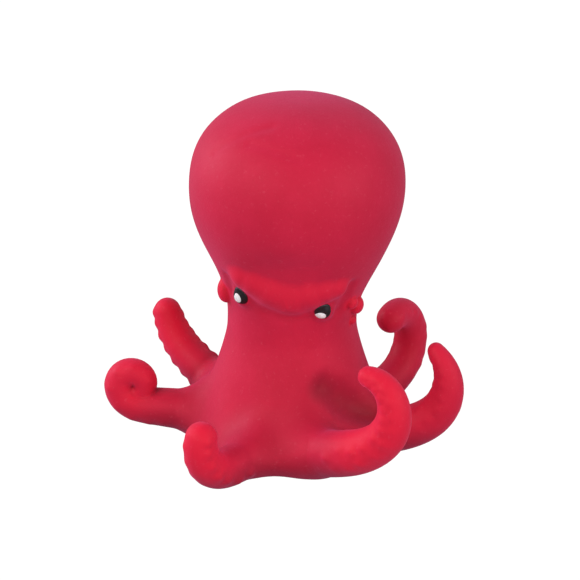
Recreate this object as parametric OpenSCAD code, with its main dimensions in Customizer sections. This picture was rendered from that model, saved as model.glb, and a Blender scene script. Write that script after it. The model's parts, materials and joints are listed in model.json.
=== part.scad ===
// Soft octopus squeeze toy: a filled rubber skin with a round mantle, an angry brow
// and eight curling arms. The face looks along -Y, and the flat base lies on z = 0.

/* [Mantle] */
// Radius of the mantle at its widest
mantle_r = 33; // [28:0.5:36]
// Height of the mantle's widest level
mantle_widest_z = 82; // [76:0.5:88]
// Height of the crown
mantle_top_z = 111.5; // [108:0.5:118]
// Squareness of the crown: 2 is round, more is flatter
crown_power = 2.3; // [2:0.1:3]
// Fullness of the flank above the neck: less is fuller
flank_power = 0.9; // [0.6:0.05:1]

/* [Neck] */
// Outer radius of the neck
neck_r = 20; // [19:0.5:21]
// Height of the point that the head nods and sways about
neck_z = 38; // [37:0.5:39]
// Radius of the soft ball inside the neck
neck_ball_r = 17; // [16:0.5:17]
// Half of the open band between the body's rim and the mantle's rim
neck_band_half = 4; // [3.5:0.5:4.5]

/* [Body] */
// Radius of the flat base
base_r = 29; // [27:0.5:30]
// Radius of the body where it bulges over the base
body_r = 31.5; // [30:0.5:32]
// Height of the bulge
bulge_z = 5; // [4:0.5:6]
// How quickly the body narrows above the bulge
body_taper_power = 1.5; // [1.2:0.1:2]
// Thickness of the rubber skin
wall = 3; // [2:0.5:4]
// Radius of the plug that closes the filling hole
plug_r = 5; // [4:0.5:7]
// Distance of the plug behind the middle of the base
plug_back = 13; // [8:1:18]

/* [Face] */
// Height of the eyes' level
face_z = 52.5; // [51:0.5:54]
// Sideways tilt of the face
face_roll = 6; // [0:1:8]
// Angle from the middle of the face to each eye
eye_angle = 32; // [28:1:36]
// Radius of each eye
eye_r = 2.8; // [2.2:0.1:3.4]
// Radius of the white spot on each eye
glint_r = 1.4; // [1:0.1:1.6]
// Radius of the brow ridge
brow_r = 3.8; // [3:0.1:4]
// Height of the brow's middle above the eyes
brow_lift = 3.9; // [3.5:0.1:5]
// Upward slope of each half of the brow
brow_slope = 8; // [4:1:12]
// Angle from the middle of the brow to each end
brow_angle = 44; // [36:1:48]
// Angle from the middle of the face to each cheek lobe
cheek_angle = 75; // [70:1:80]
// Depth of the cheek lobes below the eyes
cheek_drop = 3.5; // [3:0.5:4]
// Radius of each cheek lobe
cheek_r = 3.6; // [3:0.1:4.2]

/* [Arms] */
// Direction of each arm's root from the middle of the body, from the front towards +X
arm_direction = [-14, 22, 73, 133, 178, -151, -117, -83]; // [-180:1:180]
// Distance of each arm's root from the middle of the body
arm_root_r = [30, 28.5, 28, 28, 28, 28, 29, 29.5]; // [24:0.5:31]
// Height of each arm's root
arm_root_z = [6.6, 7.8, 7.2, 6.2, 6.5, 6.5, 8, 6.8]; // [6.2:0.1:9]
// Length of each arm along its middle
arm_length = [31.5, 55.5, 44.5, 49, 40, 40, 31, 48.5]; // [28:0.5:58]
// Radius of each arm at its root
arm_root_thickness = [6.5, 7.1, 7.1, 6, 6.3, 6.3, 6.4, 6.5]; // [5.8:0.1:7.2]
// Radius of each arm at its tip
arm_tip_thickness = [4.8, 3.1, 2.7, 4.6, 3.4, 3.4, 4.4, 3.3]; // [2.5:0.1:5]
// Upward slope of each arm at its root, in degrees
arm_rise = [-1, 17, 2, 0, 0, 0, 32, 4]; // [-5:1:35]
// Slope of each arm at its tip, in degrees: 90 is upright, and more curls back inwards
arm_curl = [103, 179, 140, 199, 170, 195, 78, 390]; // [60:1:400]
// Share of each arm that stays straight before the curl
arm_straight = [0.34, 0.06, 0, 0.03, 0.2, 0.2, 0.32, 0.33]; // [0:0.01:0.5]
// How sharply each curl tightens
arm_tighten = [1, 2.42, 1.48, 1.51, 1.3, 1.3, 1.5, 1.62]; // [1:0.05:2.5]
// How late each arm gets thin: more keeps it thick for longer
arm_taper = [1.3, 2, 1.9, 1.3, 1.3, 1.3, 1.3, 1.3]; // [1:0.1:2.5]
// Sideways turn of each arm at its root, in degrees
arm_turn_root = [-17, 34, 25, 7, 0, 0, 0, -1]; // [-20:1:50]
// Sideways turn of each arm at its tip, in degrees
arm_turn_tip = [-17, 50, -9, 26, 0, 0, 0, -6]; // [-20:1:60]
// Share of each arm's length at its root hinge
arm_hinge_share = [0.23, 0.21, 0.22, 0.2, 0.22, 0.22, 0.22, 0.17]; // [0.1:0.01:0.3]
// Share of each arm's length at its curl hinge
arm_curl_share = [0.57, 0.52, 0.56, 0.5, 0.58, 0.58, 0.6, 0.39]; // [0.35:0.01:0.6]
// Share of each arm's line that its solid follows: a tight coil stops before it would meet itself
arm_end_share = [1, 1, 1, 1, 1, 1, 1, 0.83]; // [0.8:0.01:1]

/* [Hidden] */

skin_colour = [0.78, 0.09, 0.18];
filling_colour = [0.93, 0.88, 0.78];

// Gap between faces that slide over each other, and between a filling and its skin
sliding_gap = 0.5;
filling_gap = 0.2;
plug_gap = 0.05;
plug_recess = 0.3;
paint_gap = 0.05;

// Distances of the face's features from the head's axis
brow_reach = neck_r + 2.6;
brow_cross_angle = 4;
eye_reach = neck_r + 1.2;
// The white spot sits low on the eye, towards -X
glint_shift = 3;
glint_drop = 0.8;
glint_sink = 0.8;

// Levels of the rims on each side of the neck's open band
body_top_z = neck_z - neck_band_half;
mantle_bottom_z = neck_z + neck_band_half;
// The mantle's hollow starts above the neck ball
mantle_hollow_z = neck_z + neck_ball_r + sliding_gap + wall;
crown_h = mantle_top_z - mantle_widest_z;
flank_h = mantle_widest_z - mantle_bottom_z;

outline_steps = 12;
curve_fn = 96;

ARM_FRONT_LEFT = 0;
ARM_FRONT_RIGHT = 1;
ARM_RIGHT = 2;
ARM_BACK_RIGHT = 3;
ARM_REAR_RIGHT = 4;
ARM_REAR_LEFT = 5;
ARM_BACK_LEFT = 6;
ARM_LEFT = 7;

// ---- outlines of the turned shapes -------------------------------------------------

// Radius of the body at a height above its bulge
function body_radius(z) = neck_r + (body_r - neck_r)
    * pow((body_top_z - z) / (body_top_z - bulge_z), body_taper_power);

// Radius of the mantle at a height below its widest level
function flank_radius(z) = neck_r + (mantle_r - neck_r)
    * pow(0.5 - 0.5 * cos(180 * (z - mantle_bottom_z) / flank_h), flank_power);

// Outline of the body, made smaller by inset
function body_outline(inset) = concat(
    [[0, inset], [base_r - inset, inset], [body_r - inset, bulge_z]],
    [for (k = [1 : outline_steps])
        let (z = bulge_z + (body_top_z - bulge_z) * k / outline_steps)
        [body_radius(z) - inset, z]],
    [[0, body_top_z]]);

// Outline of the mantle above a level, made smaller by inset
function mantle_outline(bottom_z, inset) = concat(
    [[0, bottom_z]],
    [for (k = [0 : outline_steps])
        let (z = bottom_z + (mantle_widest_z - bottom_z) * k / outline_steps)
        [flank_radius(z) - inset, z]],
    [for (k = [1 : outline_steps - 1])
        let (angle = 90 * k / outline_steps)
        [(mantle_r - inset) * pow(cos(angle), 2 / crown_power),
         mantle_widest_z + (crown_h - inset) * pow(sin(angle), 2 / crown_power)]],
    [[0, mantle_top_z - inset]]);

// ---- arms: a middle line that rises and turns, with rings round it -------------------

arm_steps = 48;
ring_sides = 16;
ring_spacing = 3;
dish_rings = 4;
dome_rings = 4;
// An arm that bends tightly gets thinner than its bend
bend_limit = 0.8;

function curl_share(i, s) = max(0, (s - arm_straight[i]) / (1 - arm_straight[i]));

function arm_slope(i, s) = arm_rise[i]
    + (arm_curl[i] - arm_rise[i]) * pow(curl_share(i, s), arm_tighten[i]);

function arm_bearing(i, s) = arm_direction[i] + arm_turn_root[i]
    + (arm_turn_tip[i] - arm_turn_root[i]) * s;

function arm_forward(i, s) = let (slope = arm_slope(i, s), bearing = arm_bearing(i, s))
    [cos(slope) * sin(bearing), -cos(slope) * cos(bearing), sin(slope)];

function arm_side(i, s) = let (bearing = arm_bearing(i, s)) [cos(bearing), sin(bearing), 0];

function arm_up(i, s) = cross(arm_forward(i, s), arm_side(i, s));

function arm_root(i) = [arm_root_r[i] * sin(arm_direction[i]),
    -arm_root_r[i] * cos(arm_direction[i]), arm_root_z[i]];

// Points along the middle of an arm, one for each step
function arm_line(i) = [for (k = 0, p = arm_root(i); k <= arm_steps;
    p = p + arm_forward(i, (k + 0.5) / arm_steps) * arm_length[i] / arm_steps, k = k + 1) p];

// Radius of the bend at a share of the length
function bend_radius(i, s) = let (d = 1 / arm_steps)
    2 * d * arm_length[i] / (max(0.01, arm_slope(i, min(1, s + d)) - arm_slope(i, max(0, s - d))) * PI / 180);

function arm_radius(i, s) = min(bend_limit * bend_radius(i, s),
    arm_root_thickness[i] + (arm_tip_thickness[i] - arm_root_thickness[i]) * pow(s, arm_taper[i]));

function hinge_step(i) = round(arm_hinge_share[i] * arm_steps);
function curl_step(i) = round(arm_curl_share[i] * arm_steps);
function end_step(i) = round(arm_end_share[i] * arm_steps);
function hinge_radius(i) = arm_radius(i, hinge_step(i) / arm_steps);

// A ring of points across an arm: reach along it and radius across it, from a centre
function arm_ring(i, s, centre, reach, radius) = [for (a = [0 : 360 / ring_sides : 359])
    centre + reach * arm_forward(i, s)
    + radius * (cos(a) * arm_side(i, s) + sin(a) * arm_up(i, s))];

// Rings of a hollow dish round a joint's centre, from its middle to its rim
function dish(i, s, centre, ball_r) = let (r = ball_r + sliding_gap, rim = asin(ball_r / r))
    [for (k = [1 : dish_rings]) let (a = rim * k / dish_rings)
        arm_ring(i, s, centre, r * cos(a), r * sin(a))];

// Rings of a round end, from its widest ring towards its middle
function dome(i, s, centre, r) = [for (k = [0 : dome_rings - 1]) let (a = 90 * k / dome_rings)
    arm_ring(i, s, centre, r * sin(a), r * cos(a))];

// A closed solid through a chain of rings, with a point at each end
module ring_solid(first_point, rings, last_point) {
    count = len(rings);
    points = concat([first_point], [for (ring = rings) for (p = ring) p], [last_point]);
    last = len(points) - 1;
    first_fan = [for (j = [0 : ring_sides - 1]) [0, 1 + j, 1 + (j + 1) % ring_sides]];
    sides = [for (k = [0 : count - 2]) for (j = [0 : ring_sides - 1])
        let (a = 1 + k * ring_sides + j, b = 1 + k * ring_sides + (j + 1) % ring_sides)
        each [[a, a + ring_sides, b], [b, a + ring_sides, b + ring_sides]]];
    last_fan = [for (j = [0 : ring_sides - 1])
        let (a = 1 + (count - 1) * ring_sides + j, b = 1 + (count - 1) * ring_sides + (j + 1) % ring_sides)
        [a, last, b]];
    polyhedron(points, concat(first_fan, sides, last_fan), convexity = 6);
}

// The stretch of an arm from one step to another: a dish at its start, a round end
module arm_stretch(i, from_step, to_step) {
    line = arm_line(i);
    s0 = from_step / arm_steps;
    s1 = to_step / arm_steps;
    step_length = arm_length[i] / arm_steps;
    ball_r = arm_radius(i, s0);
    rim_reach = sqrt(pow(ball_r + sliding_gap, 2) - pow(ball_r, 2));
    first_ring = from_step + ceil((rim_reach + 1) / step_length);
    spacing = max(1, round(ring_spacing / step_length * min(1, bend_radius(i, s1) / 12)));
    tube = [for (k = [first_ring : spacing : to_step - 1])
        arm_ring(i, k / arm_steps, line[k], 0, arm_radius(i, k / arm_steps))];
    end_r = arm_radius(i, s1);
    rings = concat(dish(i, s0, line[from_step], ball_r), tube, dome(i, s1, line[to_step], end_r));
    ring_solid(line[from_step] + (ball_r + sliding_gap) * arm_forward(i, s0), rings,
        line[to_step] + end_r * arm_forward(i, s1));
}

module arm_base(i) {
    color(skin_colour)
    arm_stretch(i, hinge_step(i), curl_step(i));
}

module arm_tip(i) {
    color(skin_colour)
    arm_stretch(i, curl_step(i), end_step(i));
}

// Half outline of a rod along +Z that ends in a ball about the origin
module rod_outline(r, run) {
    intersection() {
        union() {
            translate([0, -run])
            square([r, run]);
            circle(r = r, $fn = curve_fn);
        }
        translate([0, -run - 1])
        square([r + 1, run + r + 2]);
    }
}

// The stub of one arm that belongs to the body, with a ball at its end
module arm_stub(i) {
    run = arm_length[i] * hinge_step(i) / arm_steps + wall;
    translate(arm_line(i)[hinge_step(i)])
    rotate([0, 0, arm_bearing(i, 0)])
    rotate([90 - arm_slope(i, 0), 0, 0])
    rotate_extrude($fn = curve_fn)
    rod_outline(hinge_radius(i), run);
}

// ---- body ----------------------------------------------------------------------------

module body_skin() {
    color(skin_colour)
    difference() {
        union() {
            rotate_extrude($fn = curve_fn) polygon(body_outline(0));
            for (i = [0 : 7]) arm_stub(i);
        }
        rotate_extrude($fn = curve_fn) polygon(body_hollow(wall));
        translate([0, 0, neck_z])
        sphere(r = neck_ball_r + sliding_gap, $fn = curve_fn);
        translate([0, plug_back, -1])
        cylinder(r = plug_r + plug_gap, h = wall + 2, $fn = curve_fn);
    }
}

// Outline of the body's hollow, which stops below the neck ball
body_hollow_top_z = neck_z - neck_ball_r - sliding_gap - wall;
function body_hollow(inset) = concat(
    [[0, inset], [base_r - inset, inset], [body_r - inset, bulge_z + 1]],
    [for (k = [1 : outline_steps])
        let (z = bulge_z + (body_hollow_top_z - bulge_z) * k / outline_steps)
        if (z > bulge_z + 1) [body_radius(z) - inset, z + wall - inset]],
    [[0, body_hollow_top_z + wall - inset]]);

module body_filling() {
    color(filling_colour)
    rotate_extrude($fn = curve_fn) polygon(body_hollow(wall + filling_gap));
}

module fill_plug() {
    color(skin_colour)
    translate([0, plug_back, plug_recess])
    cylinder(r = plug_r, h = wall - plug_recess, $fn = curve_fn);
}

// ---- neck and mantle -----------------------------------------------------------------

module neck_skin() {
    color(skin_colour)
    translate([0, 0, neck_z])
    sphere(r = neck_ball_r, $fn = curve_fn);
}

// Puts a shape on the head, at an angle round it from the front and a height above the eyes
module on_face(angle, lift, reach) {
    translate([0, 0, face_z + lift])
    rotate([0, face_roll, 0])
    rotate([0, 0, angle])
    translate([0, -reach, 0])
    children();
}

// A point of the brow, at an angle round the head from the middle of the face
function brow_point(angle) = let (x = brow_reach * sin(angle))
    [x, -brow_reach * cos(angle), face_z + brow_lift + abs(x) * tan(brow_slope) - x * tan(face_roll)];

// Half outline of a rod along +Z with a ball at each end
module capsule_outline(r, run) {
    intersection() {
        union() {
            circle(r = r, $fn = curve_fn);
            square([r, run]);
            translate([0, run])
            circle(r = r, $fn = curve_fn);
        }
        translate([0, -r - 1])
        square([r + 1, run + 2 * r + 2]);
    }
}

// One half of the brow: a ridge that climbs from the middle of the face, where the halves cross
module brow_half(side) {
    from = brow_point(-side * brow_cross_angle);
    along = brow_point(side * brow_angle) - from;
    translate(from)
    rotate([0, acos(along.z / norm(along)), atan2(along.y, along.x)])
    rotate_extrude($fn = curve_fn)
    capsule_outline(brow_r, norm(along));
}

module cheek_lobe(side) {
    on_face(side * cheek_angle, -cheek_drop, neck_r)
    sphere(r = cheek_r, $fn = curve_fn);
}

module mantle_skin() {
    color(skin_colour)
    difference() {
        union() {
            rotate_extrude($fn = curve_fn) polygon(mantle_outline(mantle_bottom_z, 0));
            for (side = [-1, 1]) brow_half(side);
            for (side = [-1, 1]) cheek_lobe(side);
        }
        rotate_extrude($fn = curve_fn) polygon(mantle_outline(mantle_hollow_z, wall));
        translate([0, 0, neck_z])
        sphere(r = neck_ball_r + sliding_gap, $fn = curve_fn);
        for (side = [-1, 1]) eye_ball(side, eye_r + paint_gap);
        for (side = [-1, 1]) eye_spot(side, glint_r + paint_gap);
    }
}

module mantle_filling() {
    color(filling_colour)
    rotate_extrude($fn = curve_fn)
    polygon(mantle_outline(mantle_hollow_z + filling_gap, wall + filling_gap));
}

module eye_ball(side, r) {
    on_face(side * eye_angle, 0, eye_reach)
    sphere(r = r, $fn = curve_fn);
}

module eye_spot(side, r) {
    on_face(side * eye_angle - glint_shift, -glint_drop, eye_reach + eye_r - glint_sink)
    sphere(r = r, $fn = curve_fn);
}

module eye(side) {
    color("black")
    difference() {
        eye_ball(side, eye_r);
        eye_spot(side, glint_r + paint_gap);
    }
}

module eye_glint(side) {
    color("white")
    eye_spot(side, glint_r);
}

body_skin();
body_filling();
fill_plug();
neck_skin();
mantle_skin();
mantle_filling();
eye(-1);  // eye_left
eye(1);  // eye_right
eye_glint(-1);  // eye_glint_left
eye_glint(1);  // eye_glint_right
arm_base(ARM_FRONT_LEFT);  // arm_front_left_base
arm_tip(ARM_FRONT_LEFT);  // arm_front_left_tip
arm_base(ARM_FRONT_RIGHT);  // arm_front_right_base
arm_tip(ARM_FRONT_RIGHT);  // arm_front_right_tip
arm_base(ARM_RIGHT);  // arm_right_base
arm_tip(ARM_RIGHT);  // arm_right_tip
arm_base(ARM_BACK_RIGHT);  // arm_back_right_base
arm_tip(ARM_BACK_RIGHT);  // arm_back_right_tip
arm_base(ARM_REAR_RIGHT);  // arm_rear_right_base
arm_tip(ARM_REAR_RIGHT);  // arm_rear_right_tip
arm_base(ARM_REAR_LEFT);  // arm_rear_left_base
arm_tip(ARM_REAR_LEFT);  // arm_rear_left_tip
arm_base(ARM_BACK_LEFT);  // arm_back_left_base
arm_tip(ARM_BACK_LEFT);  // arm_back_left_tip
arm_base(ARM_LEFT);  // arm_left_base
arm_tip(ARM_LEFT);  // arm_left_tip
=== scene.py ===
"""Looks of the octopus squeeze toy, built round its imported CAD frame.

The whole skin is one smooth signed field in millimetres: a turned body and mantle, eight curling
arms with suckers, a brow, cheek lobes, dents and a flat base. The field is meshed once, and the mesh
is cut where the joints are, so that neighbouring pieces share their edge points and their normals.
"""
import json
import math
import bmesh
import bpy
import numpy as np
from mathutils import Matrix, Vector


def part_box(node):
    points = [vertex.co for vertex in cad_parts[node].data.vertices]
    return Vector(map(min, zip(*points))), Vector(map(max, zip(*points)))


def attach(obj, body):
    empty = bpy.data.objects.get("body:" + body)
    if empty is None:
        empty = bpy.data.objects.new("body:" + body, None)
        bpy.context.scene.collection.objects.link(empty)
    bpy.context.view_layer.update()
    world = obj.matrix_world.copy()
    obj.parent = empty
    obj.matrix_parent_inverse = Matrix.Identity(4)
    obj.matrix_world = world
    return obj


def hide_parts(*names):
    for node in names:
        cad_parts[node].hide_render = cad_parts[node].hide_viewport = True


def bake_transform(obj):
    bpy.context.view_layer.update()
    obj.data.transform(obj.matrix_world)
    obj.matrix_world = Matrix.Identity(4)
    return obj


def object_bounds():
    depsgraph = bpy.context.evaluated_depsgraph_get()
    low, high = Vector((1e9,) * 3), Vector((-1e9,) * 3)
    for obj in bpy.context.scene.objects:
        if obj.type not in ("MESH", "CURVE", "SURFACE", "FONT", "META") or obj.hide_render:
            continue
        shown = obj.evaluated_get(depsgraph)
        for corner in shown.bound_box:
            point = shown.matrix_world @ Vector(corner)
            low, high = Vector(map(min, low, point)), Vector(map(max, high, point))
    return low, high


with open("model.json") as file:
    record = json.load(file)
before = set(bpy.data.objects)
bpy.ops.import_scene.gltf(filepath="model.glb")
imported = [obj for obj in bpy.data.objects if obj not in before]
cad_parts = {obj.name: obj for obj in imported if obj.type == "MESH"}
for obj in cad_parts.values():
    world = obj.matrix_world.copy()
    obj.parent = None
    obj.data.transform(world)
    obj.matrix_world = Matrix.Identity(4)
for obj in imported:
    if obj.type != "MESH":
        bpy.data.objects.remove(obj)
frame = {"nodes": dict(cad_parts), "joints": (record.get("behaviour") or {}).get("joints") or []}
cad_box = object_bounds()
MM = 0.001
STEP = 0.5      # edge of the meshing grid's cells, mm
rng = np.random.default_rng(8)

# ---- sizes of the body and the head, in mm -----------------------------------------------------
NECK_R = 20.0
NECK_TOP = 42.0
WIDEST_R, WIDEST_Z = 32.7, 83.0
CROWN_Z, CROWN_POWER = 110.7, 2.35
BODY_R, BULGE_Z, BODY_TOP, BODY_TAPER = 31.2, 5.0, 38.0, 1.25
BASE_R = 29.5
LEAN, CROWN_LEAN = 1.45, .15            # how far the head, and then its crown, sit towards +X
HEAD_CUT_Z = 38.0

# ---- arms: where each starts, its length and thickness, and how it rises, turns and curls --------
# tint: how much of the deeper red and painted glow each arm's end gets, most on the front arms
ARMS = {
    "front_left": dict(direction=-14, root=30, z=6.4, length=31.5, thick=(6.5, 4.8), rise=-1, curl=103,
                       straight=.34, tighten=1, turn=(-17, -17), rows=(110, -145), bumps=.7, tint=1),
    "front_right": dict(direction=22, root=28.5, z=7.2, length=55.5, thick=(7.3, 3.1), rise=17, curl=179,
                        straight=.06, tighten=2.42, turn=(34, 50), taper=2, rows=(-74, -114), bumps=.45,
                        tint=1),
    "right": dict(direction=73, root=28, z=7.1, length=44.5, thick=(7.1, 2.7), rise=2, curl=140,
                  straight=0, tighten=1.48, turn=(25, -9), taper=1.9, rows=(-32, -88), bumps=.45, tint=.5),
    "back_right": dict(direction=133, root=28, z=6.1, length=49, thick=(6, 4.6), rise=0, curl=199,
                       straight=.03, tighten=1.51, turn=(7, 26), rows=(70, -110), bumps=.45, tint=.25),
    "rear_right": dict(direction=178, root=28, z=6.5, length=40, thick=(6.3, 3.4), rise=0, curl=170,
                       straight=.2, tighten=1.3, turn=(0, 0), rows=(110, -110), bumps=.4, tint=.5),
    "rear_left": dict(direction=-151, root=28, z=6.5, length=40, thick=(6.3, 3.4), rise=0, curl=195,
                      straight=.2, tighten=1.3, turn=(0, 0), rows=(110, -110), bumps=.4, tint=.5),
    "back_left": dict(direction=-117, root=29.5, z=8, length=31, thick=(6.4, 4.4), rise=32, curl=78,
                      straight=.32, tighten=1.5, turn=(0, 0), rows=(138, -42), bumps=1.1, tint=.75),
    "left": dict(direction=-83, root=29.5, z=6.9, length=48.5, thick=(6.7, 3.3), rise=4, curl=390,
                 straight=.33, tighten=1.62, turn=(-1, -6), rows=(128, -110), bumps=.35, tint=.6),
}
LINKS = 72
HALF_LINK = int(LINKS * .6)             # where an arm's tube is split, so that a coil can meet itself
SUCKER_R = 1.05


class Arm:
    """The middle line of one arm, with its radius and its own directions at each point."""

    def __init__(self, name, direction, root, z, length, thick, rise, curl, straight, tighten, turn,
                 rows, bumps, tint, taper=1.3):
        self.name, self.length, self.bumps, self.tint = name, length, bumps, tint
        share = np.linspace(0, 1, LINKS + 1)
        middle = (share[1:] + share[:-1]) / 2
        heading = np.radians(direction)
        start = np.array([root * np.sin(heading), -root * np.cos(heading), z])

        def slope(s):
            run = np.maximum(0, (s - straight) / (1 - straight))
            return np.radians(rise + (curl - rise) * run ** tighten)

        def bearing(s):
            return np.radians(direction + turn[0] + (turn[1] - turn[0]) * s)

        def forward(s):
            return np.stack([np.cos(slope(s)) * np.sin(bearing(s)),
                             -np.cos(slope(s)) * np.cos(bearing(s)), np.sin(slope(s))], -1)

        self.points = np.vstack([start, start + np.cumsum(forward(middle) * length / LINKS, axis=0)])
        self.radii = thick[0] + (thick[1] - thick[0]) * share ** taper
        self.along = forward(share)
        self.side = np.stack([np.cos(bearing(share)), np.sin(bearing(share)), 0 * share], -1)
        self.up = np.cross(self.along, self.side)
        self.low = self.points.min(0) - self.radii[0]
        self.high = self.points.max(0) + self.radii[0]
        self.suckers = self.place_suckers(rows)

    def place_suckers(self, rows):
        """Middles of the suckers: two rows that run along the arm and get closer towards its tip."""
        found = []
        for row, angle in enumerate(rows):
            reach = self.length * .22 + 1.6 * row
            while reach < self.length + 1:
                k = min(LINKS, int(round(reach / self.length * LINKS)))
                a = math.radians(angle + rng.uniform(-9, 9))
                out = math.cos(a) * self.up[k] + math.sin(a) * self.side[k]
                height = self.bumps * (1, .6)[row] * rng.uniform(.55, 1.15)
                found.append((self.points[k] + self.radii[k] * out, height))
                reach += (.62 * self.radii[k] + .7) * rng.uniform(.9, 1.15)
        return found

    def distance(self, p):
        """Signed distance to the arm's tube, and the distance along the arm, for points near it."""
        halves = []
        best = np.full(len(p), 1e3)
        along = np.zeros(len(p))
        for first, last in ((0, HALF_LINK), (HALF_LINK, LINKS)):
            half = np.full(len(p), 1e3)
            for k in range(first, last):
                a, d = self.points[k], self.points[k + 1] - self.points[k]
                q = p - a
                t = np.clip(q @ d / (d @ d), 0, 1)
                gap = np.sqrt(((q - t[:, None] * d) ** 2).sum(1))
                gap -= self.radii[k] + t * (self.radii[k + 1] - self.radii[k])
                nearer = gap < half
                half[nearer] = gap[nearer]
                nearer = gap < best
                best[nearer] = gap[nearer]
                along[nearer] = (k + t[nearer]) / LINKS
            halves.append(half)
        skin = smooth_min(halves[0], halves[1], .3)
        close = np.abs(skin) < 3
        if close.any():
            q = p[close]
            bump = np.zeros(len(q))
            for centre, height in self.suckers:
                bump = np.maximum(bump, height * np.exp(-((q - centre) ** 2).sum(1) / (2 * SUCKER_R ** 2)))
            skin[close] -= bump
        return skin, along * self.length


def smooth_min(a, b, k):
    """The lower of two fields, with a fillet about k wide where they meet."""
    h = np.maximum(k - np.abs(a - b), 0) / k
    return np.minimum(a, b) - h * h * k / 4


def smooth_step(x):
    x = np.clip(x, 0, 1)
    return x * x * (3 - 2 * x)


# ---- the turned body and head: exact distance to one outline, looked up from a table ------------
def outline():
    """Half outline from the middle of the base to the top of the crown, as (radius, height)."""
    z = np.arange(BULGE_Z, WIDEST_Z + .25, .5)
    body = NECK_R + (BODY_R - NECK_R) * (np.maximum(0, BODY_TOP - z) / (BODY_TOP - BULGE_Z)) ** BODY_TAPER
    share = .5 - .5 * np.cos(math.pi * np.maximum(0, z - NECK_TOP) / (WIDEST_Z - NECK_TOP))
    r = np.where(z < NECK_TOP, body, NECK_R + (WIDEST_R - NECK_R) * share ** .9)
    reach = np.arange(-8, 9)
    weight = np.exp(-reach ** 2 / 18)
    eased = np.convolve(np.pad(r, 8, mode="reflect", reflect_type="odd"), weight / weight.sum(), "valid")
    a = np.radians(np.linspace(1, 90, 90))
    crown = np.stack([WIDEST_R * np.maximum(0, np.cos(a)) ** (2 / CROWN_POWER),
                      WIDEST_Z + (CROWN_Z - WIDEST_Z) * np.sin(a) ** (2 / CROWN_POWER)], -1)
    return np.vstack([[(0, 0), (BASE_R, 0)], np.stack([eased, z], -1), crown])


CELL = .25                              # spacing of the table of distances, mm
TABLE_LOW = np.array([0., -8.])
TABLE_SHAPE = (int(56 / CELL), int(128 / CELL))


def outline_table():
    edge = outline()
    r, z = np.meshgrid(TABLE_LOW[0] + CELL * np.arange(TABLE_SHAPE[0]),
                       TABLE_LOW[1] + CELL * np.arange(TABLE_SHAPE[1]), indexing="ij")
    gap = np.full(r.shape, 1e6)
    for (r0, z0), (r1, z1) in zip(edge[:-1], edge[1:]):
        dr, dz = r1 - r0, z1 - z0
        t = np.clip(((r - r0) * dr + (z - z0) * dz) / max(dr * dr + dz * dz, 1e-12), 0, 1)
        gap = np.minimum(gap, (r - r0 - t * dr) ** 2 + (z - z0 - t * dz) ** 2)
    widest = np.interp(z, edge[1:, 1], edge[1:, 0])
    inside = (z > 0) & (z < CROWN_Z) & (r < widest)
    return np.where(inside, -1, 1) * np.sqrt(gap)


TABLE = outline_table()


def lean_at(z):
    """How far towards +X the middle of the head sits at a height."""
    return LEAN * smooth_step((z - 38) / 24) + CROWN_LEAN * smooth_step((z - 66) / 34)


def turned(p):
    """Signed distance to the turned body and head, which leans a little above the neck."""
    x = p[:, 0] - lean_at(p[:, 2])
    u = np.stack([np.hypot(x, p[:, 1]), p[:, 2]], -1)
    u = (u - TABLE_LOW) / CELL
    u = np.clip(u, 0, np.array(TABLE_SHAPE) - 1.001)
    i = u.astype(int)
    f = u - i
    a, b = i[:, 0], i[:, 1]
    low = TABLE[a, b] * (1 - f[:, 0]) + TABLE[a + 1, b] * f[:, 0]
    high = TABLE[a, b + 1] * (1 - f[:, 0]) + TABLE[a + 1, b + 1] * f[:, 0]
    return low * (1 - f[:, 1]) + high * f[:, 1]


def flank_r(z):
    edge = outline()
    return float(np.interp(z, edge[1:, 1], edge[1:, 0]))


def on_head(angle, z, out=0.0):
    """A point on the turned skin, at an angle round it from the front, out mm proud of it."""
    a = math.radians(angle)
    r = flank_r(z) + out
    return np.array([float(lean_at(z)) + r * math.sin(a), -r * math.cos(a), z])


# ---- the face -----------------------------------------------------------------------------------
def ridge_point(angle, z, half, proud):
    """A point of a ridge that stands proud of the skin, half as wide again on each side of its line."""
    r = (half ** 2 + proud ** 2) / (2 * proud)
    return on_head(angle, z, proud - r), r


BROW = [ridge_point(-29.5, 61.8, 3.3, 1.7), ridge_point(-22, 60.8, 3.8, 1.8),
        ridge_point(-10, 58.7, 4.3, 1.8), ridge_point(6, 57.2, 4.8, 1.8), ridge_point(20, 57.8, 4.2, 1.8),
        ridge_point(31, 58.6, 3.4, 1.7), ridge_point(40, 59.0, 2.8, 1.6)]
# Lobes: middle, and reach along X, Y and Z. First the bumps that carry the eyes, then the cheeks
EYE_BUMPS = [(on_head(-33.2, 54.1) + (.4, 2.1, 0), (4.2, 3.4, 3.8)),
             (on_head(31.6, 50.7) + (-.4, 2.3, 0), (4.0, 3.4, 3.6))]
LOBES = [(on_head(-64, 51.8, -.4), (2.8, 3.2, 4.1)), (on_head(74, 48.2, -.1), (2.6, 2.8, 3.0)),
         (on_head(63, 50.6, -.3), (2.1, 2.1, 2.2)), (on_head(76, 42.8, -.3), (1.6, 1.8, 1.8))]
# Hollows pressed into the skin: both ends, width and depth
HOLLOWS = [(on_head(-8, 66.5), on_head(16, 67.0), 5.0, .8),
           (on_head(-46, 59.0), on_head(-49, 54.0), 2.2, .9),
           (on_head(51, 58.5), on_head(50, 49.5), 2.2, 1.1),
           (on_head(36, 25.5), on_head(56, 18.0), 3.8, 2.6),
           (on_head(50, 20.5), on_head(70, 11.5), 4.6, 3.4),
           (on_head(-24, 10.0), on_head(-30, 20.0), 5.0, .5),
           (on_head(-12, 50.0), on_head(20, 49.0), 2.6, .5),
           (on_head(-48, 99.0), on_head(-14, 107.2), 1.7, .35),
           (on_head(-24, 103.2), on_head(10, 101.0), 1.6, .3)]
# The two folds beside the front right arm also get painted shade
PAINTED_SHADE_FOLDS = HOLLOWS[3:5]               # the two beside the front right arm


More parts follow.
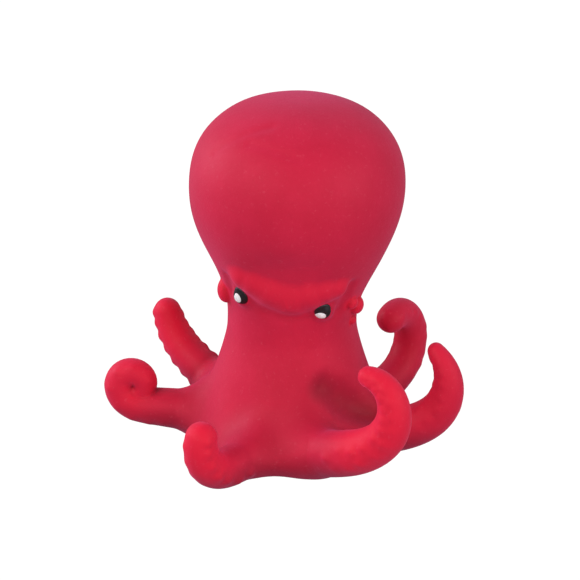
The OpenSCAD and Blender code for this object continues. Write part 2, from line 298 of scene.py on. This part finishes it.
def chain_distance(p, chain):
    best = np.full(len(p), 1e3)
    for (a, ra), (b, rb) in zip(chain[:-1], chain[1:]):
        d = b - a
        q = p - a
        t = np.clip(q @ d / (d @ d), 0, 1)
        best = np.minimum(best, np.sqrt(((q - t[:, None] * d) ** 2).sum(1)) - ra - t * (rb - ra))
    return best


def box_mask(p, low, high):
    return ((p > low) & (p < high)).all(1)


ARM_LIST = [Arm(name, **values) for name, values in ARMS.items()]
plug_low, plug_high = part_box("fill_plug")
PLUG = ((plug_low[0] + plug_high[0]) / 2 / MM, (plug_low[1] + plug_high[1]) / 2 / MM,
        (plug_high[0] - plug_low[0]) / 2 / MM)      # middle and radius of the plug, mm


def field(p):
    """Signed distance to the skin, negative inside, for points in mm."""
    skin = turned(p)
    for arm in ARM_LIST:
        near = box_mask(p, arm.low - 11, arm.high + 11)
        if near.any():
            tube, along = arm.distance(p[near])
            fillet = 2.5 + 7.5 * (1 - smooth_step((along - 2) / 14))
            skin[near] = smooth_min(skin[near], tube, fillet)
    near = box_mask(p, (-30, -30, 38), (30, 6, 72))
    if near.any():
        q = p[near]
        face = smooth_min(skin[near], chain_distance(q, BROW), 2.6)
        for k, (centre, reach) in enumerate(EYE_BUMPS + LOBES):
            size = np.sqrt((((q - centre) / reach) ** 2).sum(1))
            face = smooth_min(face, (size - 1) * min(reach), 1.6 if k < 2 else .5)
        skin[near] = face
    for start, end, width, depth in HOLLOWS:
        near = box_mask(p, np.minimum(start, end) - 3 * width, np.maximum(start, end) + 3 * width)
        if near.any():
            skin[near] += depth * np.exp(-(chain_distance(p[near], [(start, 0), (end, 0)]) / width) ** 2)
    wave = np.sin(p[:, 0] * .21 + 1.3) * np.sin(p[:, 1] * .19 + .4) * np.sin(p[:, 2] * .17 + 2.1)
    skin += .12 * wave
    skin = -smooth_min(-skin, p[:, 2], 2.0)
    near = p[:, 2] < 4
    if near.any():
        q = p[near]
        pocket = np.maximum(np.hypot(q[:, 0] - PLUG[0], q[:, 1] - PLUG[1]) - PLUG[2] - .35, q[:, 2] - .9)
        skin[near] = -smooth_min(-skin[near], pocket, .5)
    return skin


def in_chunks(function, p, size=400000):
    return np.concatenate([function(p[k:k + size]) for k in range(0, len(p), size)])


def gradient(p, reach=.3):
    """Outward direction of the skin at points near it."""
    g = np.zeros_like(p)
    for axis in range(3):
        step = np.zeros(3)
        step[axis] = reach
        g[:, axis] = in_chunks(field, p + step) - in_chunks(field, p - step)
    return g / np.maximum(np.linalg.norm(g, axis=1), 1e-9)[:, None]


# ---- meshing the field --------------------------------------------------------------------------
BLOCK = 8


def skin_surface():
    """Vertices and quads of the surface where the field is zero."""
    low = np.array([cad_box[0][k] for k in range(3)]) / MM - 8
    high = np.array([cad_box[1][k] for k in range(3)]) / MM + 8
    blocks = np.ceil((high - low) / (STEP * BLOCK)).astype(int)
    centres = np.stack(np.meshgrid(*[low[k] + STEP * BLOCK * (np.arange(blocks[k]) + .5)
                                     for k in range(3)], indexing="ij"), -1).reshape(-1, 3)
    rough = in_chunks(field, centres).reshape(blocks)
    active = np.abs(rough) < STEP * BLOCK * .87 * 1.25 + .8
    spread = active
    values = rough
    for axis in range(3):
        spread = np.repeat(spread, BLOCK, axis)
        values = np.repeat(values, BLOCK, axis)
    nodes = np.zeros(tuple(n + 1 for n in spread.shape), bool)
    grid = np.zeros(nodes.shape, np.float64)
    grid[:-1, :-1, :-1] = values
    for axis in range(3):
        last = [slice(None)] * 3
        last[axis] = -1
        before = [slice(None)] * 3
        before[axis] = -2
        grid[tuple(last)] = grid[tuple(before)]
    nodes[:-1, :-1, :-1] = spread
    for axis in range(3):
        ahead = [slice(None)] * 3
        ahead[axis] = slice(1, None)
        behind = [slice(None)] * 3
        behind[axis] = slice(None, -1)
        grown = nodes.copy()
        grown[tuple(ahead)] |= nodes[tuple(behind)]
        nodes = grown
    where = np.argwhere(nodes)
    grid[nodes] = in_chunks(field, low + STEP * where)
    inside = grid < 0

    corners = [(i, j, k) for i in (0, 1) for j in (0, 1) for k in (0, 1)]
    n = np.array(grid.shape) - 1
    every, some = np.ones(tuple(n), bool), np.zeros(tuple(n), bool)
    for i, j, k in corners:
        part = inside[i:i + n[0], j:j + n[1], k:k + n[2]]
        every &= part
        some |= part
    mixed = some & ~every
    cells = np.argwhere(mixed)
    number = np.full(tuple(n), -1)
    number[mixed] = np.arange(len(cells))
    at = {c: grid[cells[:, 0] + c[0], cells[:, 1] + c[1], cells[:, 2] + c[2]] for c in corners}
    total = np.zeros((len(cells), 3))
    count = np.zeros(len(cells))
    for c in corners:
        for axis in range(3):
            if c[axis] == 0:
                d = tuple(c[m] + (m == axis) for m in range(3))
                crossed = (at[c] < 0) != (at[d] < 0)
                t = at[c] / np.where(crossed, at[c] - at[d], 1)
                for m in range(3):
                    total[:, m] += np.where(crossed, c[m] + (t if m == axis else 0), 0)
                count += crossed
    vertices = low + STEP * (cells + total / count[:, None])

    quads = []
    for axis in range(3):
        b, c = (axis + 1) % 3, (axis + 2) % 3
        first = [slice(None)] * 3
        first[axis] = slice(None, -1)
        second = [slice(None)] * 3
        second[axis] = slice(1, None)
        edges = np.argwhere(inside[tuple(first)] != inside[tuple(second)])
        edges = edges[(edges[:, b] > 0) & (edges[:, c] > 0)
                      & (edges[:, b] < n[b]) & (edges[:, c] < n[c])]
        ring = []
        for back_b, back_c in ((1, 1), (0, 1), (0, 0), (1, 0)):
            cell = edges.copy()
            cell[:, b] -= back_b
            cell[:, c] -= back_c
            ring.append(number[cell[:, 0], cell[:, 1], cell[:, 2]])
        ring = np.stack(ring, -1)
        outward = inside[edges[:, 0], edges[:, 1], edges[:, 2]]
        ring[~outward] = ring[~outward][:, ::-1]
        quads.append(ring)
    quads = np.vstack(quads)
    for _ in range(2):
        gap = np.clip(in_chunks(field, vertices), -STEP, STEP)
        vertices = vertices - gap[:, None] * gradient(vertices, .2)
    return vertices, quads


verts, quads = skin_surface()
normals = gradient(verts)

# ---- where each point lies on the arms ----------------------------------------------------------
owner = np.full(len(verts), -1)
along = np.full(len(verts), -1.)
nearest = np.full(len(verts), 1e3)
for number, arm in enumerate(ARM_LIST):
    near = np.nonzero(box_mask(verts, arm.low - 5, arm.high + 5))[0]
    gap, reach = arm.distance(verts[near])
    closer = gap < nearest[near]
    nearest[near[closer]] = gap[closer]
    owner[near[closer]] = number
    along[near[closer]] = reach[closer]


def joint_spot(name):
    """The place of a hinge in mm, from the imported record."""
    joint = [j for j in frame["joints"] if j["name"] == name][0]
    return np.array(joint["pos_m"]) / MM


def place_on(arm, length):
    """The point of an arm's middle line at a length from its root."""
    share = min(max(length / arm.length, 0), 1) * LINKS
    k = min(int(share), LINKS - 1)
    return arm.points[k] + (share - k) * (arm.points[k + 1] - arm.points[k])


def length_at(arm, spot):
    k = int(np.argmin(((arm.points - spot) ** 2).sum(1)))
    return k / LINKS * arm.length


# Each arm is cut into a root, a middle and a tip. The root starts near the arm's first hinge, the middle a
# few mm further out, and the tip just past its second hinge.
WEB_GAP = 3.4                           # the web to the body ends where the gap is this wide
CUT_MARGIN = .9
BEND = 7.0
CURL_REACH = 3.5                        # the tip's cut lies this far past the curl's hinge, mm
piece = np.full(len(quads), -1)
centre = verts[quads].mean(1)
centre_along = along[quads].mean(1)
same = (owner[quads] == owner[quads][:, :1]).all(1)
centre_owner = np.where(same, owner[quads][:, 0], -1)
centre_gap = nearest[quads].max(1)
bends = {}
for number, arm in enumerate(ARM_LIST):
    hinge = length_at(arm, joint_spot(arm.name + "_lift"))
    curl = length_at(arm, joint_spot(arm.name + "_curl"))
    marks = np.linspace(0, arm.length, LINKS + 1)
    spots = np.linspace(0, arm.length, 200)
    spare = np.array([float(turned(place_on(arm, s)[None])[0]) - np.interp(s, marks, arm.radii)
                      for s in spots])
    web_end = spots[np.argmax(spare > WEB_GAP)]
    first = max(hinge - 2.5, web_end)
    last = min(first + BEND, curl - 5.5)
    bends[arm.name] = (place_on(arm, first), place_on(arm, last), place_on(arm, curl - CURL_REACH),
                       place_on(arm, curl + CURL_REACH))
    a, b, c, d = bends[arm.name]
    mine = (centre_owner == number) & (centre_gap < 4.5)
    past_a = (centre - a) @ (b - a) / np.linalg.norm(b - a)
    past_b = (centre - b) @ (b - a) / np.linalg.norm(b - a)
    past_d = (centre - d) @ (d - c) / np.linalg.norm(d - c)
    rooted = mine & ((centre_along > first + 9) | ((past_a > -CUT_MARGIN) & (centre_along > first - 8)))
    beyond = rooted & ((centre_along > last + 9) | ((past_b > CUT_MARGIN) & (centre_along > last - 4)))
    ended = beyond & ((centre_along > curl + 12) | ((past_d > CUT_MARGIN) & (centre_along > curl - 2)))
    piece[rooted] = 10 * number
    piece[beyond] = 10 * number + 1
    piece[ended] = 10 * number + 2
HEAD, BODY = 100, 101
rest = piece < 0
piece[rest & (centre[:, 2] > HEAD_CUT_Z)] = HEAD
piece[rest & (centre[:, 2] <= HEAD_CUT_Z)] = BODY

# ---- what the material reads: deeper red and painted glow on the ends, brow and cheeks, and painted shade - ---
tints = np.array([arm.tint for arm in ARM_LIST])
# Arm ends, brow and cheek lobes: partly the solid rubber's own deeper red, partly painted glow of light
# through the rubber
on_arm = tints[owner] * smooth_step((along - 8) / 16) * smooth_step((4 - nearest) / 3)
ember = np.where(owner >= 0, on_arm, 0.)
ember = np.maximum(ember, .55 * smooth_step((2.6 - chain_distance(verts, BROW)) / 2.4))
for spot, reach in LOBES:
    ember = np.maximum(ember, .8 * smooth_step(1.9 - np.linalg.norm((verts - spot) / reach, axis=1)))
# Painted shade: darker where the skin closes in above a point, in hollows and between arms and body
shelter = np.zeros(len(verts))
for reach in (1.5, 4., 9.):
    shelter += np.clip(1 - in_chunks(field, verts + normals * reach) / reach, 0, 1) / 3
# Less painted shade on the arm ends, brow and cheeks
shelter *= 1 - .55 * ember
# Painted shade in the two folds beside the front right arm
for start, end, width, _ in PAINTED_SHADE_FOLDS:
    fold_shade = np.exp(-(chain_distance(verts, [(start, 0), (end, 0)]) / (1.3 * width)) ** 2) * (1 - ember)
    shelter = np.maximum(shelter, .75 * fold_shade)
# Painted shade low down, stronger on skin that faces sideways or down
low_down_shade = smooth_step((17 - verts[:, 2]) / 17) * smooth_step((.9 - normals[:, 2]) / .9)
shelter = np.maximum(shelter, .6 * low_down_shade * (1 - .5 * ember))


# ---- materials ----------------------------------------------------------------------------------
def srgb(r, g, b):
    """A colour from the usual 0 to 255 steps, as Blender's linear values."""
    def linear(c):
        c = c / 255
        return c / 12.92 if c <= .04045 else ((c + .055) / 1.055) ** 2.4
    return (linear(r), linear(g), linear(b), 1)


class Nodes:
    """Shorthand for building a material's nodes."""

    def __init__(self, name):
        self.material = bpy.data.materials.new(name)
        self.material.use_nodes = True
        self.tree = self.material.node_tree
        self.shader = self.tree.nodes["Principled BSDF"]

    def add(self, kind, inputs=None, **settings):
        node = self.tree.nodes.new(kind)
        for key, value in settings.items():
            setattr(node, key, value)
        for key, value in (inputs or {}).items():
            self.put(node.inputs[key], value)
        return node

    def put(self, socket, value):
        if isinstance(value, bpy.types.NodeSocket):
            self.tree.links.new(value, socket)
        else:
            socket.default_value = value

    def rest_place(self):
        return self.add("ShaderNodeAttribute", attribute_name="rest_place").outputs["Vector"]

    def attribute(self, name):
        return self.add("ShaderNodeAttribute", attribute_name=name).outputs["Fac"]

    def noise(self, place, scale, detail=3., rough=.5):
        return self.add("ShaderNodeTexNoise", {"Vector": place, "Scale": scale, "Detail": detail,
                                               "Roughness": rough}).outputs["Fac"]

    def ramp(self, value, low, high, to_low=0., to_high=1.):
        return self.add("ShaderNodeMapRange", {"Value": value, "From Min": low, "From Max": high,
                                               "To Min": to_low, "To Max": to_high}).outputs["Result"]

    def mix(self, share, a, b):
        node = self.add("ShaderNodeMix", data_type="RGBA")
        self.put(node.inputs[0], share)
        self.put(node.inputs[6], a)
        self.put(node.inputs[7], b)
        return node.outputs[2]

    def bump(self, height, strength, distance, normal=None):
        inputs = {"Height": height, "Strength": strength, "Distance": distance}
        if normal is not None:
            inputs["Normal"] = normal
        return self.add("ShaderNodeBump", inputs).outputs["Normal"]


def rubber():
    m = Nodes("crimson_rubber")
    place = m.rest_place()
    mottle = m.ramp(m.noise(place, 90, 4, .6), .35, .7)
    patches = m.ramp(m.noise(place, 28, 2, .5), .3, .7)
    colour = m.mix(mottle, srgb(202, 20, 54), srgb(210, 26, 61))
    colour = m.mix(m.ramp(patches, 0, 1, 0, .35), colour, srgb(194, 14, 48))
    # Arm ends, brow and cheeks: the solid rubber's deeper red, with painted glow of light through it
    colour = m.mix(m.ramp(m.attribute("ember"), 0, 1, 0, .85), colour, srgb(234, 18, 50))
    # Painted shade: dark red in hollows, in the folds, between parts and low down
    colour = m.mix(m.ramp(m.attribute("shelter"), .08, .7, 0, .8), colour, srgb(128, 2, 20))
    grains = m.noise(place, 2600, 2, .6)
    powder = m.ramp(m.noise(place, 800, 3, .7), .6, .74, 0, .12)
    colour = m.mix(powder, colour, srgb(236, 120, 140))
    specks = m.add("ShaderNodeTexVoronoi", {"Vector": place, "Scale": 130., "Randomness": 1.})
    close = m.ramp(specks.outputs["Distance"], .03, .045, 1, 0)
    rare = m.ramp(m.add("ShaderNodeSeparateColor", {"Color": specks.outputs["Color"]}).outputs[0],
                  .9, .905)
    speck = m.add("ShaderNodeMath", {0: close, 1: rare}, operation="MULTIPLY").outputs[0]
    colour = m.mix(m.ramp(speck, 0, 1, 0, .7), colour, srgb(245, 205, 210))
    m.put(m.shader.inputs["Base Color"], colour)
    m.put(m.shader.inputs["Roughness"], m.ramp(grains, .3, .7, .5, .66))
    m.shader.inputs["Specular IOR Level"].default_value = .22
    m.shader.inputs["Sheen Weight"].default_value = .27
    m.shader.inputs["Sheen Roughness"].default_value = .6
    m.shader.inputs["Sheen Tint"].default_value = srgb(255, 130, 195)
    fine = m.bump(grains, .35, .00012)
    m.put(m.shader.inputs["Normal"], m.bump(m.noise(place, 420, 3, .6), .25, .0003, fine))
    return m.material


def paint(name, colour, other, gloss):
    m = Nodes(name)
    place = m.add("ShaderNodeTexCoord").outputs["Object"]
    strokes = m.noise(place, 900, 3, .6)
    m.put(m.shader.inputs["Base Color"], m.mix(m.ramp(strokes, .4, .7), colour, other))
    m.put(m.shader.inputs["Roughness"], m.ramp(strokes, .3, .7, gloss, gloss + .15))
    m.put(m.shader.inputs["Normal"], m.bump(m.noise(place, 500, 2, .5), .2, .0002))
    return m.material


def granules(name):
    m = Nodes(name)
    place = m.add("ShaderNodeTexCoord").outputs["Object"]
    grains = m.add("ShaderNodeTexVoronoi", {"Vector": place, "Scale": 900.})
    shade = m.ramp(grains.outputs["Distance"], 0, .7)
    m.put(m.shader.inputs["Base Color"], m.mix(shade, srgb(236, 226, 204), srgb(190, 174, 146)))
    m.shader.inputs["Roughness"].default_value = .85
    m.put(m.shader.inputs["Normal"], m.bump(shade, .6, .0006))
    return m.material


RUBBER = rubber()
BLACK = paint("eye_black_paint", srgb(10, 10, 14), srgb(22, 22, 28), .3)
WHITE = paint("eye_white_paint", srgb(250, 250, 250), srgb(226, 228, 232), .3)


# ---- making the pieces --------------------------------------------------------------------------
def make_mesh(name, points, faces, material, point_normals=None):
    mesh = bpy.data.meshes.new(name)
    mesh.from_pydata((points * MM).tolist(), [], [tuple(int(v) for v in face) for face in faces])
    mesh.polygons.foreach_set("use_smooth", [True] * len(mesh.polygons))
    if point_normals is not None:
        mesh.normals_split_custom_set_from_vertices(point_normals.tolist())
    mesh.materials.append(material)
    mesh.update()
    obj = bpy.data.objects.new(name, mesh)
    bpy.context.scene.collection.objects.link(obj)
    return obj


def skin_piece(name, label):
    faces = quads[piece == label]
    used, local = np.unique(faces, return_inverse=True)
    obj = make_mesh(name, verts[used], local.reshape(-1, 4), RUBBER, normals[used])
    places = obj.data.attributes.new("rest_place", "FLOAT_VECTOR", "POINT")
    places.data.foreach_set("vector", (verts[used] * MM).astype(np.float32).ravel())
    for key, values in (("ember", ember), ("shelter", shelter)):
        attribute = obj.data.attributes.new(key, "FLOAT", "POINT")
        attribute.data.foreach_set("value", values[used].astype(np.float32))
    return obj


body = skin_piece("body_rubber_skin", BODY)
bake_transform(body)
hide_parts("body_skin", "neck_skin")
head = skin_piece("head_rubber_skin", HEAD)
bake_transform(head)
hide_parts("mantle_skin")
for number, arm in enumerate(ARM_LIST):
    a, b, c, d = (tuple(p * MM) for p in bends[arm.name])
    root = skin_piece("arm_%s_root_skin" % arm.name, 10 * number)
    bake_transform(root)
    middle = skin_piece("arm_%s_middle_skin" % arm.name, 10 * number + 1)
    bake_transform(middle)
    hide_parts("arm_%s_base" % arm.name)
    tip = skin_piece("arm_%s_tip_skin" % arm.name, 10 * number + 2)
    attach(tip, "tip_" + arm.name)
    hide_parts("arm_%s_tip" % arm.name)


# ---- the eyes: domed drops of paint that follow the skin ----------------------------------------
RINGS, SPOKES = 12, 56


def egg(share, t, size, point):
    """A point of an egg's outline, longer towards +y, or of the same outline made smaller."""
    top = np.maximum(0, np.sin(t))
    return (share * size[0] / 2 * np.cos(t) * (1 - point * .25 * top),
            share * size[1] / 2 * np.sin(t) * (1 + point * top ** 3))


def dome(share, rise):
    return rise * np.sqrt(np.maximum(0, 1 - share ** 2.6))


def share_of(u, v, size, lean, point):
    """How far a spot is from an egg's middle, as a share of the way to its rim."""
    turn = math.radians(lean)
    x, y = u * math.cos(turn) + v * math.sin(turn), v * math.cos(turn) - u * math.sin(turn)
    rim = egg(1, np.arctan2(y / size[1], x / size[0]), size, point)
    return np.hypot(x, y) / np.hypot(*rim)


def drop(name, angle, z, size, lean, point, rise, material, shift=(0, 0), under=None):
    """A low dome of paint on the skin, or on another dome: an egg that leans by an angle."""
    at = on_head(angle, z, 1)
    out = gradient(at[None], .8)[0]
    out[2] *= .4
    out /= np.linalg.norm(out)
    across = np.cross((0, 0, 1.), out)
    across /= np.linalg.norm(across)
    upward = np.cross(out, across)
    round_it = 2 * math.pi * np.arange(SPOKES) / SPOKES
    share, t = np.meshgrid(np.linspace(0, 1, RINGS + 1), round_it, indexing="ij")
    share, t = share.ravel(), t.ravel()
    x, y = egg(share, t, size, point)
    turn = math.radians(lean)
    u = x * math.cos(turn) - y * math.sin(turn) + shift[0]
    v = x * math.sin(turn) + y * math.cos(turn) + shift[1]
    height = dome(share, rise) - PAINT_SINK * (share > .97)
    if under:
        height += dome(share_of(u, v, *under[:3]), under[3])
    spots = at + u[:, None] * across + v[:, None] * upward + 4 * out
    travel = np.zeros(len(spots))
    for _ in range(24):
        travel += field(spots - travel[:, None] * out) * .8
    top = spots + (height - travel)[:, None] * out
    points = np.vstack([top, top[-SPOKES:] - .45 * out])
    faces = []
    for ring in range(1, RINGS + 1):
        for spoke in range(SPOKES):
            a, b = ring * SPOKES + spoke, ring * SPOKES + (spoke + 1) % SPOKES
            faces.append((a - SPOKES, a, b, b - SPOKES))
    last = RINGS * SPOKES
    for spoke in range(SPOKES):
        a, b = last + spoke, last + (spoke + 1) % SPOKES
        faces.append((a, a + SPOKES, b + SPOKES, b))
    faces.append(tuple(range(last + 2 * SPOKES - 1, last + SPOKES - 1, -1)))
    obj = make_mesh(name, points, faces, material)
    clean(obj)
    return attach(obj, "head")


def clean(obj):
    """Welds the doubled points in the middle of a dome, and turns every face outwards."""
    mesh = bmesh.new()
    mesh.from_mesh(obj.data)
    bmesh.ops.remove_doubles(mesh, verts=mesh.verts, dist=1e-6)
    bmesh.ops.recalc_face_normals(mesh, faces=mesh.faces)
    mesh.to_mesh(obj.data)
    mesh.free()


PAINT_SINK = .15
EYE_RISE, EYE_POINT = .6, .18
for label, angle, z, size, lean, spot, spot_size, spot_lean in (
        ("left", -33.2, 54.3, (5.0, 5.4), 28, (-.7, -.45), (2.5, 3.2), 16),
        ("right", 31.6, 50.8, (5.4, 5.0), -40, (-.6, -1.1), (3.4, 2.3), -8)):
    eye = drop("eye_%s_dome" % label, angle, z, size, lean, EYE_POINT, EYE_RISE, BLACK)
    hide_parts("eye_" + label)
    shine = drop("eye_glint_%s_spot" % label, angle, z, spot_size, spot_lean, .05, .22, WHITE, spot,
                 (size, lean, EYE_POINT, EYE_RISE))
    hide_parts("eye_glint_" + label)

# ---- what is inside, and the plug underneath ----------------------------------------------------
for node in ("body_filling", "mantle_filling"):
    obj = frame["nodes"][node]
    obj.data.materials.clear()
    obj.data.materials.append(granules("granules_" + node))


def plug():
    """A thin round plug with a rounded rim and a small pip left by the mould."""
    radius, bottom, top = PLUG[2], plug_low[2] / MM, plug_high[2] / MM
    profile = [(0, bottom + .1), (.5, bottom + .1), (.7, bottom + .25), (radius - .9, bottom + .25),
               (radius - .6, bottom), (radius - .2, bottom + .05), (radius, bottom + .3), (radius, top)]
    points, faces = [], []
    for r, z in profile:
        for spoke in range(SPOKES):
            t = 2 * math.pi * spoke / SPOKES
            points.append((PLUG[0] + r * math.cos(t), PLUG[1] + r * math.sin(t), z))
    for ring in range(len(profile) - 1):
        for spoke in range(SPOKES):
            a, b = ring * SPOKES + spoke, ring * SPOKES + (spoke + 1) % SPOKES
            faces.append((a, a + SPOKES, b + SPOKES, b))
    last = (len(profile) - 1) * SPOKES
    faces.append(tuple(range(last, last + SPOKES)))
    obj = make_mesh("fill_plug_disc", np.array(points), faces, RUBBER)
    clean(obj)
    places = obj.data.attributes.new("rest_place", "FLOAT_VECTOR", "POINT")
    places.data.foreach_set("vector", np.array([v.co for v in obj.data.vertices], np.float32).ravel())
    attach(obj, "body")
    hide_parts("fill_plug")
    return obj


plug()


# ---- floor, light and camera --------------------------------------------------------------------
def glow(name, colour, strength):
    material = bpy.data.materials.new(name)
    material.use_nodes = True
    tree = material.node_tree
    tree.nodes.clear()
    shader = tree.nodes.new("ShaderNodeEmission")
    shader.inputs["Color"].default_value = colour
    shader.inputs["Strength"].default_value = strength
    end = tree.nodes.new("ShaderNodeOutputMaterial")
    tree.links.new(shader.outputs[0], end.inputs[0])
    return material


bpy.ops.mesh.primitive_plane_add(size=8, location=(0, 0, -.0002))
floor = bpy.context.object
floor.name = "floor"
floor.data.materials.append(glow("white_floor", (1, 1, 1, 1), 1.05))
floor.visible_diffuse = False
floor.visible_glossy = False
floor.visible_shadow = False

world = bpy.data.worlds.new("studio")
bpy.context.scene.world = world
world.use_nodes = True
tree = world.node_tree
seen = tree.nodes["Background"]
seen.inputs["Color"].default_value = (1, 1, 1, 1)
seen.inputs["Strength"].default_value = 1.05
fill = tree.nodes.new("ShaderNodeBackground")
fill.inputs["Color"].default_value = (1, .97, .98, 1)
sky = tree.nodes.new("ShaderNodeTexCoord")
split = tree.nodes.new("ShaderNodeSeparateXYZ")
level = tree.nodes.new("ShaderNodeMapRange")
for key, value in (("From Min", -.5), ("From Max", .6), ("To Min", .27), ("To Max", .46)):
    level.inputs[key].default_value = value
tree.links.new(sky.outputs["Generated"], split.inputs[0])
tree.links.new(split.outputs["Z"], level.inputs["Value"])
tree.links.new(level.outputs["Result"], fill.inputs["Strength"])
path = tree.nodes.new("ShaderNodeLightPath")
both = tree.nodes.new("ShaderNodeMixShader")
tree.links.new(path.outputs["Is Camera Ray"], both.inputs[0])
tree.links.new(fill.outputs[0], both.inputs[1])
tree.links.new(seen.outputs[0], both.inputs[2])
tree.links.new(both.outputs[0], tree.nodes["World Output"].inputs[0])


def lamp(name, place, size, power, colour=(1, 1, 1)):
    data = bpy.data.lights.new(name, "AREA")
    data.shape = "DISK"
    data.size = size
    data.energy = power
    data.color = colour
    obj = bpy.data.objects.new(name, data)
    bpy.context.scene.collection.objects.link(obj)
    obj.location = place
    obj.rotation_mode = "QUATERNION"
    obj.rotation_quaternion = (Vector((0, 0, .055)) - Vector(place)).to_track_quat("-Z", "Y")
    return obj


lamp("key", (-.55, -.75, .55), .6, 3.9)
lamp("side", (-.75, .1, .3), .4, 3.0, (1, .82, 1))
lamp("soft_right", (.75, -.35, .3), .5, 2.6, (1, .9, .98))
lamp("front", (.25, -.85, .12), .6, 1.2)

AZIMUTH, ELEVATION, FAR = math.radians(10), math.radians(22), .6
right = Vector((math.cos(AZIMUTH), math.sin(AZIMUTH), 0))
back = Vector((math.sin(AZIMUTH) * math.cos(ELEVATION), -math.cos(AZIMUTH) * math.cos(ELEVATION),
               math.sin(ELEVATION)))
up = back.cross(right)
target = Vector((0, 0, .055))
aim = target - right * .0006 - up * .0055
camera = bpy.data.objects.new("camera", bpy.data.cameras.new("camera"))
bpy.context.scene.collection.objects.link(camera)
bpy.context.scene.camera = camera
camera.data.sensor_width = 36
camera.data.lens = 121
camera.data.clip_start = .01
camera.location = target + back * FAR
camera.rotation_mode = "QUATERNION"
camera.rotation_quaternion = (aim - camera.location).to_track_quat("-Z", "Y")
bpy.context.scene.view_settings.view_transform = "Standard"
